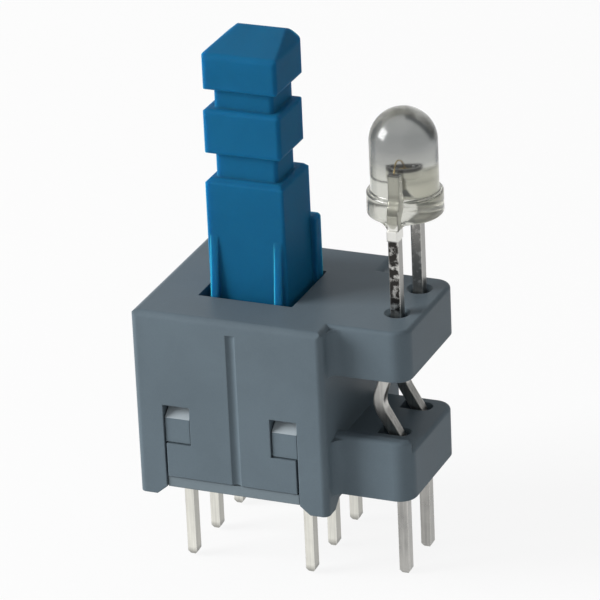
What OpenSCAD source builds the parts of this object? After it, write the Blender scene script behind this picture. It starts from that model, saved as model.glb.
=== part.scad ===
// Push-push switch for a circuit board, with a bracket that carries a 3 mm lamp beside it.
// Millimetres. Z = 0 is the board, the plunger travels along Z, and the lamp stands on the +X side.

/* [Housing] */
// Side of the square housing in plan
body_w = 8.5; // [8.3:0.1:9.5]
// Height of the housing's top above the board
body_h = 8.3; // [8:0.1:9.5]
// Thickness of the side walls
wall_t = 0.7; // [0.55:0.05:0.75]
// Thickness of the top wall
roof_t = 0.9; // [0.7:0.05:1.2]
// Radius of the outer edges
edge_r = 0.28; // [0.1:0.02:0.4]
// Height of the corner feet
foot_h = 0.37; // [0.25:0.01:0.5]
// Width of a corner foot where it meets the board
foot_w = 0.8; // [0.6:0.05:1]
// Sideways place of the groove in the front and back walls
groove_x = 0.2; // [-0.4:0.05:0.4]
// Width of the centre groove in the front and back walls
groove_w = 0.42; // [0.3:0.02:0.5]
// Depth of the centre groove
groove_d = 0.11; // [0.05:0.01:0.14]
// Distance of the centre groove's upper end from the top
groove_top = 0.6; // [0.4:0.1:2]

/* [Latch windows] */
// Distance of a window's middle from the middle of its wall
window_x = 2.4; // [2.2:0.05:2.6]
// Width of a window
window_w = 1.2; // [0.9:0.05:1.4]
// Height of a window's sill above the board
window_sill = 2.4; // [2:0.05:2.8]
// Height of a window
window_h = 1.75; // [1.4:0.05:2]
// Width of the slits that free the wall under the windows
slit_w = 0.1; // [0.05:0.01:0.2]

/* [Lamp bracket] */
// Length of the two arms from the housing's wall
arm_out = 3.3; // [3:0.05:4]
// Reach of the arms to the front of the lamp's axis
arm_front = 3.25; // [2.6:0.05:3.4]
// Reach of the upper arm behind the lamp's axis
upper_arm_back = 2.55; // [2.2:0.05:3.4]
// Reach of the lower arm behind the lamp's axis
lower_arm_back = 2.15; // [2.1:0.05:3.4]
// Thickness of the upper arm
upper_arm_t = 2.25; // [1.8:0.05:2.6]
// Open height between the arms
arm_gap = 2.7; // [2:0.05:3]
// Height of the lower arm's underside above the board
lower_arm_z = 0.65; // [0.3:0.05:1.2]
// Radius of the arms' outer corners in plan
arm_corner_r = 0.75; // [0.4:0.05:1.2]
// Radius of the arms' upper edges
arm_edge_r = 0.18; // [0.1:0.02:0.3]
// Radius of the arms' lower edges
arm_under_r = 0.06; // [0.04:0.02:0.2]
// Radius of the inner corners between arms and wall
arm_fillet_r = 0.5; // [0.2:0.05:0.7]
// Diameter of the lead holes
lead_hole_d = 0.8; // [0.7:0.05:1]
// Diameter of the lead-in cone at the top of a lead hole
lead_in_d = 1.1; // [1:0.05:1.4]
// Depth of the step behind the lower arm's front rim
step_depth = 0.45; // [0.3:0.05:0.8]
// Thickness of the lower arm's front rim
rim_t = 0.45; // [0.4:0.05:0.6]

/* [Terminal base] */
// Thickness of the base
base_t = 0.95; // [0.8:0.05:1.2]
// Height of the lip that shows under the front and back walls
lip_h = 0.46; // [0.3:0.02:0.6]
// Set-back of the lip and of the latch hooks from the outer walls
lip_inset = 0.08; // [0.03:0.01:0.2]
// Thickness of the four latch arms
hook_t = 0.45; // [0.35:0.05:0.5]
// Height of the sloped lead-in at the top of a latch hook
hook_slope_h = 0.55; // [0.3:0.05:0.8]
// Height of the walls behind the contact blades
blade_wall_h = 2.6; // [1:0.1:3.5]

/* [Terminals] */
// Distance of each terminal row from the middle
row_x = 2.7; // [2.55:0.05:2.8]
// Pitch of the three terminals in a row
pin_pitch = 2.5; // [2.4:0.02:2.54]
// Thickness of the terminal strip
strip_t = 0.4; // [0.3:0.02:0.44]
// Width of a terminal pin
pin_w = 0.5; // [0.4:0.02:0.6]
// Length of the pins below the board
pin_reach = 3.5; // [2.5:0.1:4]
// Length of the chamfered ends of pins and leads
end_l = 0.16; // [0.1:0.02:0.3]
// Depth of the chamfers at the ends of pins and leads
end_inset = 0.09; // [0.04:0.01:0.12]
// Width of a contact blade
blade_w = 0.8; // [0.7:0.02:0.86]
// Reach of the contact blades above the moving contact at rest
blade_over = 0.6; // [0.3:0.05:0.8]
// Plunger stroke at which the front contacts open
break_stroke = 0.9; // [0.6:0.1:1.2]
// Plunger stroke at which the rear contacts close
make_stroke = 1.4; // [1.3:0.1:1.8]

/* [Plunger] */
// Stroke of the plunger down to its stop
travel = 2.7; // [2.5:0.1:2.9]
// Distance of the shaft's front face from the housing's middle
plunger_front = 1.65; // [1.6:0.01:1.7]
// Set-back of the head blocks from the shaft's front face
head_inset = 0.04; // [0:0.01:0.1]
// Width of the upper head block
tip_w = 3.28; // [3:0.02:3.4]
// Width of the lower head block
ring_w = 3.4; // [3.1:0.02:3.5]
// Depth of the upper head block from front to back
tip_depth = 2.88; // [2.6:0.02:2.9]
// Depth of the lower head block from front to back
ring_depth = 2.6; // [2.4:0.02:2.9]
// Height of the upper head block's front
tip_h = 1.55; // [1.2:0.05:2.2]
// Height by which the head's top rises to the back
crown_h = 0.5; // [0.2:0.05:0.7]
// Width of the slopes on both sides of the head's top
crown_w = 0.62; // [0.3:0.02:0.8]
// Height of the upper groove
upper_groove_h = 0.85; // [0.6:0.05:1.2]
// Height of the lower head block
ring_h = 1.95; // [1.4:0.05:2.6]
// Height of the lower groove
lower_groove_h = 1.1; // [0.6:0.05:1.4]
// Depth of the upper groove
upper_groove_d = 0.34; // [0.2:0.02:0.5]
// Depth of the lower groove
lower_groove_d = 0.34; // [0.2:0.02:0.5]
// Radius of the head's top edges
knob_r = 0.25; // [0.15:0.05:0.3]
// Radius of the plunger's other edges
plunger_edge_r = 0.17; // [0.06:0.01:0.17]
// Height of the shaft's shoulder above the housing
shaft_rise = 5.1; // [3.5:0.1:7]
// Width of the shaft at the housing
shaft_w = 3.5; // [3.5:0.02:3.6]
// Depth of the shaft at the housing, from front to back
shaft_depth = 2.96; // [2.94:0.02:3]
// Narrowing of the shaft up to its shoulder
shaft_taper = 0.06; // [0.02:0.02:0.1]
// Reach of the guide plate to each side, at the shaft's back
plate_reach = 1.98; // [1.9:0.02:2.1]
// Thickness of the guide plate
plate_t = 0.36; // [0.3:0.02:0.4]
// Width of the two buttresses on the shaft's front
buttress_w = 0.5; // [0.3:0.05:0.7]
// Height of the buttresses above the housing
buttress_rise = 2.6; // [1.5:0.1:3.5]
// Reach of the buttresses from the shaft's front, at the housing
buttress_out = 0.26; // [0.08:0.02:0.3]
// Half width of the slider inside the housing
slider_x = 1.97; // [1.9:0.01:2.02]
// Half depth of the slider inside the housing
slider_y = 2.55; // [2.45:0.05:2.6]

/* [Return spring] */
// Mean diameter of the return spring
coil_d = 2; // [1.7:0.05:2.1]
// Wire diameter of the return spring
wire_d = 0.25; // [0.15:0.01:0.3]
// Turns of the return spring
coil_turns = 9; // [6:1:12]
// Height of the spring's upper seat above the housing
spring_seat_rise = 0.7; // [0.3:0.1:3]
// Height of the post inside the spring
post_h = 2; // [1:0.1:2.4]

/* [Lock] */
// Wire diameter of the lock pin
lock_wire_d = 0.34; // [0.26:0.02:0.36]
// Sideways swing of the lock pin's tip over the whole stroke
lock_swing = 0.8; // [0.6:0.05:0.9]
// Stroke at which the lock pin holds the plunger down
latch_stroke = 2.2; // [1.8:0.1:2.3]
// Depth of the heart-shaped groove that guides the pin
cam_depth = 0.5; // [0.35:0.05:0.55]
// Height of the lock pin's pivot above the base
pivot_rise = 0.55; // [0.4:0.05:0.7]
// Thickness of the leaf that presses the lock pin
leaf_t = 0.14; // [0.08:0.02:0.16]
// Width of the leaf
leaf_w = 0.8; // [0.5:0.05:0.9]
// Height of the leaf's lower bend above its block
leaf_foot_rise = 0.3; // [0.2:0.05:0.4]
// Height of the leaf's nose above its lower bend
leaf_nose_rise = 0.7; // [0.5:0.05:0.9]
// Height of the leaf's free end above its nose
leaf_tail = 0.5; // [0.4:0.05:0.6]
// Radius of the leaf's bends
leaf_bend_r = 0.3; // [0.2:0.05:0.4]

/* [Moving contacts] */
// Thickness of the moving contacts' strip
clip_t = 0.12; // [0.08:0.01:0.14]
// Height of a moving contact
clip_h = 1.7; // [1.2:0.1:2]

/* [Lamp] */
// Distance of the lamp's axis from the housing's wall
led_out = 2.2; // [2.1:0.05:2.4]
// Height of the lamp's flange above the housing
led_rise = 4; // [1:0.1:8]
// Diameter of the lens
lens_d = 2.82; // [2.76:0.02:3]
// Diameter of the flange
flange_d = 3.18; // [3.12:0.02:3.4]
// Thickness of the flange
flange_t = 1; // [0.8:0.05:1.2]
// Height of the lens with its flange
lens_h = 4.52; // [4:0.02:5.5]
// Pitch of the two leads
lead_pitch = 2.54; // [2.5:0.02:2.58]
// Side of the square lead wire
lead_t = 0.45; // [0.35:0.01:0.5]
// Length of the leads below the board
lead_reach = 3.6; // [2.5:0.1:4]
// Sideways reach of the kink between the arms
kink_out = 1; // [0.6:0.01:1.05]
// Height of the kink above the lower arm
kink_rise = 0.8; // [0.6:0.05:1.2]
// Radius of the kink
kink_r = 1.1; // [0.6:0.1:1.3]
// Radius of the other bends in a lead
bend_r = 0.55; // [0.4:0.05:0.7]
// Height at which the lead frame's feet widen, above the flange's underside
frame_rise = 0.35; // [0.25:0.05:0.5]
// Distance of the leads' stubs below the flange
stub_drop = 0.27; // [0.1:0.01:0.5]
// Height of the lead frame's anvil above the flange's underside
anvil_h = 2.15; // [1.7:0.05:2.4]

/* [Hidden] */
$fn = 48;
// Room between pieces that are pressed together and don't move
fit_gap = 0.05;
// Room around pieces that slide
slide_gap = 0.12;
// Room left between the slider and its stops
stop_gap = 0.02;
// Room between a moving contact and its blade
contact_gap = 0.04;
// Room between the lock pin's tip and the sides of its groove
cam_gap = 0.09;
// Overlap that makes cuts break through
cut = 0.5;
// Depth by which joined shapes run into each other
root = 0.1;

half = body_w / 2;
cavity = half - wall_t;
roof_z = body_h - roof_t;
floor_z = foot_h + base_t;
base_half = cavity - fit_gap;
slit_x = window_x + window_w / 2;
lip_z = foot_h + lip_h;
groove_r = (groove_w * groove_w / 4 + groove_d * groove_d) / (2 * groove_d);

upper_arm_z = body_h - upper_arm_t;
lower_arm_top = upper_arm_z - arm_gap;
lower_arm_t = lower_arm_top - lower_arm_z;
step_z = lower_arm_top - step_depth;
arm_end = half + arm_out;

hook_w = window_w - 2 * fit_gap;
hook_face = half - lip_inset;
hook_inner = base_half - hook_t;
hook_top = window_sill + window_h - fit_gap;
blade_wall_x = row_x + strip_t / 2 + fit_gap;

shaft_half = shaft_w / 2;
shaft_front = -plunger_front;
shaft_back = shaft_front + shaft_depth;
head_front = shaft_front + head_inset;
plate_back = shaft_back + plate_t;
shaft_z = body_h + shaft_rise;
ring_z = shaft_z + lower_groove_h;
tip_z = ring_z + ring_h + upper_groove_h;
slider_top = roof_z - stop_gap;
slider_bottom = floor_z + travel + stop_gap;
opening_x = plate_reach + slide_gap;
opening_front = shaft_front - buttress_out - slide_gap;
opening_back = plate_back + slide_gap;

pocket_d = coil_d + wire_d + 2 * slide_gap;
pocket_roof = body_h + spring_seat_rise;
post_d = coil_d - wire_d - 2 * slide_gap;

cam_wall = 0.2;
cam_floor = pocket_d / 2 + cam_wall;
cam_face = cam_floor + cam_depth;
cam_w = lock_wire_d + 2 * cam_gap;
lock_y = cam_face + slide_gap + lock_wire_d / 2;
lock_tip_y = cam_floor + slide_gap;
lock_tip_z = slider_bottom;
pivot_z = floor_z + pivot_rise;
lock_arm = lock_tip_z - pivot_z;
lock_angle = asin(lock_swing / lock_arm);
lock_bend_r = lock_wire_d;
recess_half = lock_swing + cam_w / 2 + slide_gap;
pivot_block_w = 1;
pivot_block_front = lock_y + lock_bend_r + fit_gap;
pivot_block_back = cavity - leaf_t - 2 * fit_gap;
pivot_block_top = pivot_z + pivot_rise;
leaf_front = lock_y + lock_wire_d / 2 + contact_gap;
leaf_foot_z = pivot_block_top + leaf_foot_rise;
leaf_nose_z = leaf_foot_z + leaf_nose_rise;
leaf_end_z = leaf_nose_z + leaf_tail;

finger_z = (slider_top + slider_bottom) / 2;
finger_w = blade_w / 2 - fit_gap;
finger_y = pin_pitch - blade_w / 2 + finger_w / 2;
blade_face = row_x - strip_t / 2;
blade_top = finger_z + blade_over;
shoulder_h = 0.35;
clip_reach = finger_y + finger_w / 2;

led_x = half + led_out;
led_z = body_h + led_rise;
lens_r = lens_d / 2;
lead_y = lead_pitch / 2;
kink_top = upper_arm_z + upper_arm_t / 2;
kink_z = lower_arm_top + kink_rise;
kink_foot = step_z - lead_t;
lead_slot_x = led_x - kink_out / 2 - lead_t;
anvil_z = led_z + anvil_h;
frame_foot = led_z + frame_rise;
stub_top = led_z - stub_drop;
stub_h = 0.45;
stub_w = 0.68;
post_y = 1;
post_w = 0.38;
cup_d = 0.95;
cup_mouth_d = 0.76;
cup_h = 0.4;
cup_depth = 0.3;
chip_w = 0.3;
chip_h = 0.2;
wire_t = 0.05;
chip_top = anvil_z - cup_depth + chip_h;

// Outlines

function unit(v) = v / norm(v);
function turned(v, a) = [v[0] * cos(a) - v[1] * sin(a), v[0] * sin(a) + v[1] * cos(a)];
function left_of(a, b) = turned(unit(b - a), 90);

// Direction and length of the mitre at one point of a bent path
function mitre(path, i) =
    let (last = len(path) - 1)
    let (before = left_of(path[max(i - 1, 0)], path[max(i, 1)]))
    let (after = left_of(path[min(i, last - 1)], path[min(i + 1, last)]))
    let (middle = unit(before + after))
    middle / (middle * after);

// Outline of a strip of even thickness along a bent path
function strip_outline(path, t) = concat(
    [for (i = [0 : len(path) - 1]) path[i] + mitre(path, i) * t / 2],
    [for (i = [len(path) - 1 : -1 : 0]) path[i] - mitre(path, i) * t / 2]
);

// Points of a rounded corner at b, between a and c
function bend(a, b, c, r, steps = 6) =
    let (u = unit(a - b))
    let (w = unit(c - b))
    let (half_angle = acos(u * w) / 2)
    let (middle = b + unit(u + w) * r / sin(half_angle))
    let (start = b + u * r / tan(half_angle) - middle)
    let (side = sign(cross(b - a, c - b)))
    [for (k = [0 : steps]) middle + turned(start, side * (180 - 2 * half_angle) * k / steps)];

// Outline through points given as [x, y, radius], with every corner rounded
function softened(p) =
    let (n = len(p))
    let (q = [for (v = p) [v[0], v[1]]])
    [for (i = [0 : n - 1]) each bend(q[(i + n - 1) % n], q[i], q[(i + 1) % n], p[i][2])];

// Rectangle on its lower edge's middle, with rounded upper and lower corners
module soft_rect(w, h, r_top, r_bottom) {
    translate([-w / 2, r_bottom]) square([w, h - r_top - r_bottom]);
    translate([r_top - w / 2, h / 2]) square([w - 2 * r_top, h / 2]);
    translate([r_bottom - w / 2, 0]) square([w - 2 * r_bottom, h / 2]);
    for (side = [-1, 1]) {
        translate([side * (w / 2 - r_top), h - r_top]) circle(r_top);
        translate([side * (w / 2 - r_bottom), r_bottom]) circle(r_bottom);
    }
}

// Groove of even width from p to q, with round ends
module round_slot(p, q, w) {
    run = q - p;
    translate(p) circle(d = w);
    translate(q) circle(d = w);
    translate(p) rotate(atan2(run[1], run[0])) translate([0, -w / 2]) square([norm(run), w]);
}

// Outline drawn in X and Z, extruded along Y from y0 to y1
module along_y(y0, y1) {
    translate([0, y1, 0]) rotate([90, 0, 0]) linear_extrude(y1 - y0) children();
}

// Outline drawn in Y and Z, extruded along X from x0 to x1
module along_x(x0, x1) {
    translate([x0, 0, 0]) rotate([90, 0, 90]) linear_extrude(x1 - x0) children();
}

// Box between two corners
module block(low, high) {
    translate(low) cube(high - low);
}

// Copies on the front and back walls
module front_and_back() {
    children();
    mirror([0, 1, 0]) children();
}

// Copies on the left and right sides
module left_and_right() {
    children();
    mirror([1, 0, 0]) children();
}

// Housing

module outer_block() {
    intersection() {
        linear_extrude(body_h) translate([0, -half]) soft_rect(body_w, body_w, edge_r, edge_r);
        along_y(-half, half) soft_wall_profile();
        along_x(-half, half) soft_wall_profile();
    }
}

module soft_wall_profile() {
    translate([0, -cut]) soft_rect(body_w, body_h + cut, edge_r, root);
}

// One arm of the lamp bracket, with its lower face at z0
module lamp_arm(z0, t, back) {
    straight_end = arm_end - arm_corner_r;
    translate([0, (back - arm_front) / 2, z0])
        along_x(half - wall_t / 2, straight_end)
            soft_rect(arm_front + back, t, arm_edge_r, arm_under_r);
    translate([straight_end, 0, z0])
        along_y(arm_corner_r - arm_front, back - arm_corner_r)
            arm_end_profile(t);
    translate([straight_end, back - arm_corner_r, z0])
        rotate_extrude(angle = 90) arm_end_profile(t);
    translate([straight_end, arm_corner_r - arm_front, z0])
        rotate([0, 0, -90]) rotate_extrude(angle = 90) arm_end_profile(t);
    translate([0, 0, z0 + arm_under_r]) linear_extrude(t - arm_edge_r - arm_under_r) {
        translate([half, -arm_front]) mirror([0, 1]) inner_corner();
        translate([half, back]) inner_corner();
    }
}

// Right half of an arm's section, with rounded outer corners
module arm_end_profile(t) {
    intersection() {
        soft_rect(2 * arm_corner_r, t, arm_edge_r, arm_under_r);
        square([arm_corner_r, t]);
    }
}

// Lower arm, stepped down behind its front rim
module lower_arm() {
    lamp_arm(lower_arm_z, lower_arm_t - step_depth, lower_arm_back);
    intersection() {
        lamp_arm(lower_arm_z, lower_arm_t, lower_arm_back);
        block([half - wall_t, -half, lower_arm_z], [arm_end + cut, rim_t - arm_front, body_h]);
    }
}

module inner_corner() {
    difference() {
        translate([-root, -root]) square(arm_fillet_r + root);
        translate([arm_fillet_r, arm_fillet_r]) circle(arm_fillet_r);
    }
}

// Gap between two corner feet, drawn on one wall
module foot_gap_outline() {
    foot_inner = half - foot_w;
    polygon([
        [-foot_inner - cut, -cut],
        [foot_inner + cut, -cut],
        [foot_inner, 0],
        [slit_x, foot_h],
        [-slit_x, foot_h],
        [-foot_inner, 0]
    ]);
}

module wall_cuts() {
    along_y(-half - cut, half + cut) foot_gap_outline();
    along_x(-half - cut, half + cut) foot_gap_outline();
    front_and_back() {
        block([-slit_x, -half - cut, foot_h - root], [slit_x, -cavity + root, lip_z + fit_gap]);
        left_and_right() {
            block(
                [window_x - window_w / 2, -half - cut, window_sill],
                [slit_x, -cavity + root, window_sill + window_h]
            );
            block([slit_x - slit_w, -half - cut, lip_z], [slit_x, -cavity + root, window_sill + root]);
        }
        translate([groove_x, groove_d - half - groove_r, lip_z])
            cylinder(r = groove_r, h = body_h - groove_top - lip_z);
    }
}

// Holes that lead the lamp's wires through both arms
module lead_cuts() {
    for (y = [-lead_y, lead_y]) {
        translate([led_x, y, lower_arm_z - cut])
            cylinder(d = lead_hole_d, h = body_h - lower_arm_z + 2 * cut);
        translate([led_x, y, body_h - (lead_in_d - lead_hole_d) / 2])
            cylinder(d1 = lead_hole_d, d2 = lead_in_d + 2 * root, h = (lead_in_d - lead_hole_d) / 2 + root);
        block(
            [lead_slot_x, y - lead_hole_d / 2, upper_arm_z - cut],
            [led_x, y + lead_hole_d / 2, kink_top]
        );
        block(
            [lead_slot_x, y - lead_hole_d / 2, kink_foot],
            [led_x, y + lead_hole_d / 2, lower_arm_top + root]
        );
    }
}

module housing() {
    color("slategray") difference() {
        union() {
            outer_block();
            lamp_arm(upper_arm_z, upper_arm_t, upper_arm_back);
            lower_arm();
        }
        block([-cavity, -cavity, -cut], [cavity, cavity, roof_z]);
        block([-opening_x, opening_front, roof_z - cut], [opening_x, opening_back, body_h + cut]);
        wall_cuts();
        lead_cuts();
    }
}

// Terminal base

// Latch arm with its hook, drawn in Y and Z for the back wall
module hook_outline() {
    hook_bottom = window_sill + fit_gap;
    polygon([
        [hook_inner, foot_h],
        [base_half, foot_h],
        [base_half, hook_bottom],
        [hook_face, hook_bottom],
        [hook_face, hook_top - hook_slope_h],
        [base_half, hook_top],
        [hook_inner, hook_top]
    ]);
}

module pin_slots() {
    left_and_right() for (y = [-pin_pitch, 0, pin_pitch]) {
        block(
            [row_x - strip_t / 2 - fit_gap / 2, y - pin_w / 2 - fit_gap / 2, foot_h - cut],
            [row_x + strip_t / 2 + fit_gap / 2, y + pin_w / 2 + fit_gap / 2, floor_z + cut]
        );
    }
}

module terminal_base() {
    wall_y = hook_inner - 4 * fit_gap;
    lip_x = slit_x - fit_gap;
    color("lightslategray") difference() {
        union() {
            block([-base_half, -base_half, foot_h], [base_half, base_half, floor_z]);
            block([-lip_x, -hook_face, foot_h], [lip_x, hook_face, lip_z]);
            front_and_back() left_and_right()
                along_x(window_x - hook_w / 2, window_x + hook_w / 2) hook_outline();
            left_and_right()
                block([blade_wall_x, -wall_y, foot_h], [base_half, wall_y, floor_z + blade_wall_h]);
            translate([0, 0, foot_h]) cylinder(d = post_d, h = floor_z - foot_h + post_h);
            block(
                [-pivot_block_w / 2, pivot_block_front, foot_h],
                [pivot_block_w / 2, pivot_block_back, pivot_block_top]
            );
        }
        pin_slots();
        translate([0, cavity + cut, pivot_z]) rotate([90, 0, 0])
            cylinder(d = lock_wire_d + fit_gap, h = cavity + cut - pivot_block_front + cut);
    }
}

// Terminals

// Pin with a shoulder that sits on the base, drawn around the pin's middle
module pin_outline() {
    polygon([
        [end_inset - pin_w / 2, -pin_reach],
        [pin_w / 2 - end_inset, -pin_reach],
        [pin_w / 2, end_l - pin_reach],
        [pin_w / 2, floor_z],
        [blade_w / 2, floor_z],
        [blade_w / 2, floor_z + shoulder_h],
        [-blade_w / 2, floor_z + shoulder_h],
        [-blade_w / 2, floor_z],
        [-pin_w / 2, floor_z],
        [-pin_w / 2, end_l - pin_reach]
    ]);
}

// Opens first: a contact pad high up, on a stem that leaves room below it
module front_outline() {
    pin_outline();
    translate([-blade_w / 2, floor_z]) square([blade_w / 2, blade_top - floor_z]);
    translate([-blade_w / 2, finger_z - break_stroke])
        square([blade_w, blade_top - finger_z + break_stroke]);
}

// Common contact: a blade over the whole stroke
module middle_outline() {
    pin_outline();
    translate([-blade_w / 2, floor_z]) square([blade_w, blade_top - floor_z]);
}

// Closes last: a short blade
module rear_outline() {
    pin_outline();
    translate([-blade_w / 2, floor_z]) square([blade_w, finger_z - make_stroke - floor_z]);
}

// Strip of even width around the Z axis, with its lower end chamfered at a depth below the board
module chamfered_strip(w, reach, top) {
    polygon([
        [end_inset - w / 2, -reach],
        [w / 2 - end_inset, -reach],
        [w / 2, end_l - reach],
        [w / 2, top],
        [-w / 2, top],
        [-w / 2, end_l - reach]
    ]);
}

// Stamped strip in a row, with a chamfered end
module terminal(x, y) {
    color("silver") translate([x, y, 0]) intersection() {
        along_x(-strip_t / 2, strip_t / 2) children();
        along_y(-blade_w, blade_w) chamfered_strip(strip_t, pin_reach, body_h);
    }
}

// Plunger

// Column with rounded upright edges behind a front face
module column(w, front, depth, z0, z1) {
    translate([0, front, z0]) linear_extrude(z1 - z0) soft_rect(w, depth, plunger_edge_r, plunger_edge_r);
}

// Upper head block: its top rises to the back between two sloped sides
module head_tip() {
    w = tip_w / 2;
    top = tip_h + crown_h;
    intersection() {
        column(tip_w, head_front, tip_depth, tip_z, tip_z + top);
        along_y(-tip_w, tip_w) translate([0, tip_z]) polygon(softened([
            [-w, 0, plunger_edge_r],
            [w, 0, plunger_edge_r],
            [w, tip_h, knob_r],
            [w - crown_w, top, knob_r],
            [crown_w - w, top, knob_r],
            [-w, tip_h, knob_r]
        ]));
        along_x(-tip_w, tip_w) translate([head_front, tip_z]) polygon(softened([
            [0, 0, plunger_edge_r],
            [tip_depth, 0, plunger_edge_r],
            [tip_depth, top, knob_r],
            [0, tip_h, knob_r]
        ]));
    }
}

// Lower head block
module head_ring() {
    intersection() {
        column(ring_w, head_front, ring_depth, ring_z, ring_z + ring_h);
        along_y(-ring_w, ring_w) translate([0, ring_z])
            soft_rect(ring_w, ring_h, plunger_edge_r, plunger_edge_r);
        along_x(-ring_w, ring_w) translate([head_front + ring_depth / 2, ring_z])
            soft_rect(ring_depth, ring_h, plunger_edge_r, plunger_edge_r);
    }
}

// Neck under a head block, set back by the groove's depth on every side
module neck(w, depth, groove_depth, z0, z1) {
    column(w - 2 * groove_depth, head_front + groove_depth, depth - 2 * groove_depth, z0 - root, z1 + root);
}

module head() {
    head_tip();
    neck(tip_w, tip_depth, upper_groove_d, ring_z + ring_h, tip_z);
    head_ring();
    neck(ring_w, ring_depth, lower_groove_d, shaft_z, ring_z);
}

// Section of the shaft, narrower at its shoulder than at the housing
module shaft_profile(w) {
    low = w / 2;
    top = (w - shaft_taper) / 2;
    polygon([
        [-low, slider_bottom],
        [low, slider_bottom],
        [low, body_h],
        [top, shaft_z - plunger_edge_r],
        [top - plunger_edge_r, shaft_z],
        [plunger_edge_r - top, shaft_z],
        [-top, shaft_z - plunger_edge_r],
        [-low, body_h]
    ]);
}

module shaft() {
    intersection() {
        column(shaft_w, shaft_front, shaft_depth, slider_bottom, shaft_z);
        along_y(-shaft_w, shaft_w) shaft_profile(shaft_w);
        along_x(-shaft_w, shaft_w) translate([shaft_front + shaft_depth / 2, 0]) shaft_profile(shaft_depth);
    }
}

// Plate behind the shaft that guides it in the housing's opening
module guide_plate() {
    translate([0, 0, slider_bottom])
        along_y(shaft_back - 2 * root, plate_back)
            soft_rect(2 * plate_reach, body_h + travel - slider_bottom, plunger_edge_r, root / 2);
}

module buttresses() {
    left_and_right()
        along_x(shaft_half - buttress_w, shaft_half - plunger_edge_r) polygon([
            [shaft_front - buttress_out, slider_bottom + root],
            [shaft_front - buttress_out, body_h],
            [shaft_front, body_h + buttress_rise],
            [shaft_front + 2 * root, body_h + buttress_rise],
            [shaft_front + 2 * root, slider_bottom + root]
        ]);
}

// Heart-shaped path of the lock pin's tip, in the slider's back face
module heart_groove() {
    low = [0, lock_tip_z];
    high = lock_tip_z + travel - lock_arm * (1 - cos(lock_angle));
    hold = [0, lock_tip_z + latch_stroke];
    for (side = [-1, 1]) {
        round_slot(low, [side * lock_swing, high], cam_w);
        round_slot(hold, [side * lock_swing, high], cam_w);
    }
    round_slot(low - [0, cam_w], low, cam_w);
}

module plunger() {
    color("steelblue") difference() {
        union() {
            head();
            shaft();
            guide_plate();
            buttresses();
            block([-slider_x, -slider_y, slider_bottom], [slider_x, slider_y, slider_top]);
        }
        translate([0, 0, slider_bottom - cut]) cylinder(d = pocket_d, h = pocket_roof - slider_bottom + cut);
        block([-recess_half, cam_face, slider_bottom - cut], [recess_half, slider_y + cut, slider_top + cut]);
        along_y(cam_floor, cam_face + cut) heart_groove();
        left_and_right() block(
            [slider_x - clip_t, -clip_reach - fit_gap, finger_z - clip_h / 2 - fit_gap],
            [slider_x + cut, clip_reach + fit_gap, finger_z + clip_h / 2 + fit_gap]
        );
    }
}

// Return spring

// Height of the wire's middle after a share of the turns, with flat end turns
function coil_height(t) =
    let (low = floor_z + wire_d / 2 + stop_gap)
    let (high = pocket_roof - wire_d / 2 - stop_gap)
    let (turn = t * coil_turns)
    let (pitch = (high - low - 2 * wire_d) / (coil_turns - 2))
    turn < 1 ? low + wire_d * turn
        : turn > coil_turns - 1 ? high - wire_d * (coil_turns - turn)
        : low + wire_d + pitch * (turn - 1);

module return_spring() {
    ring_sides = 8;
    rings = coil_turns * 14;
    points = [
        for (i = [0 : rings]) for (k = [0 : ring_sides - 1])
            let (a = 360 * coil_turns * i / rings)
            let (b = 360 * k / ring_sides)
            let (r = (coil_d + wire_d * cos(b)) / 2)
            [r * cos(a), r * sin(a), coil_height(i / rings) + wire_d / 2 * sin(b)]
    ];
    sides = [
        for (i = [0 : rings - 1]) for (k = [0 : ring_sides - 1])
            let (next = (k + 1) % ring_sides)
            [
                i * ring_sides + k,
                i * ring_sides + next,
                (i + 1) * ring_sides + next,
                (i + 1) * ring_sides + k
            ]
    ];
    start_cap = [for (k = [ring_sides - 1 : -1 : 0]) k];
    end_cap = [for (k = [0 : ring_sides - 1]) rings * ring_sides + k];
    color("gainsboro") polyhedron(points, concat(sides, [start_cap, end_cap]), convexity = 10);
}

// Lock

// Quarter bend of the lock pin's wire, from straight up to straight back
module lock_bend() {
    rotate([90, 0, 90]) rotate_extrude(angle = 90)
        translate([lock_bend_r, 0]) circle(d = lock_wire_d);
}

// Staple of wire: its foot turns in the base, its tip runs in the slider's groove
module lock_pin() {
    foot_end = pivot_block_back - fit_gap;
    foot_start = lock_y + lock_bend_r;
    color("gray") {
        translate([0, foot_end, pivot_z]) rotate([90, 0, 0])
            cylinder(d = lock_wire_d, h = foot_end - foot_start);
        translate([0, foot_start, pivot_z + lock_bend_r]) rotate([180, 0, 0]) lock_bend();
        translate([0, lock_y, pivot_z + lock_bend_r])
            cylinder(d = lock_wire_d, h = lock_arm - 2 * lock_bend_r);
        translate([0, lock_y - lock_bend_r, lock_tip_z - lock_bend_r]) lock_bend();
        translate([0, lock_y - lock_bend_r, lock_tip_z]) rotate([90, 0, 0])
            cylinder(d = lock_wire_d, h = lock_y - lock_bend_r - lock_tip_y);
    }
}

// Leaf between the housing's back wall and the lock pin
module lock_pin_spring() {
    back = cavity - fit_gap / 2 - leaf_t / 2;
    front = leaf_front + leaf_t / 2;
    low = [back, floor_z];
    foot = [back, leaf_foot_z];
    nose = [front, leaf_nose_z];
    free_end = [front + 2 * leaf_t, leaf_end_z];
    path = concat(
        [low],
        bend(low, foot, nose, leaf_bend_r),
        bend(foot, nose, free_end, leaf_bend_r),
        [free_end]
    );
    color("goldenrod") along_x(-leaf_w / 2, leaf_w / 2) polygon(strip_outline(path, leaf_t));
}

// Moving contacts

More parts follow.
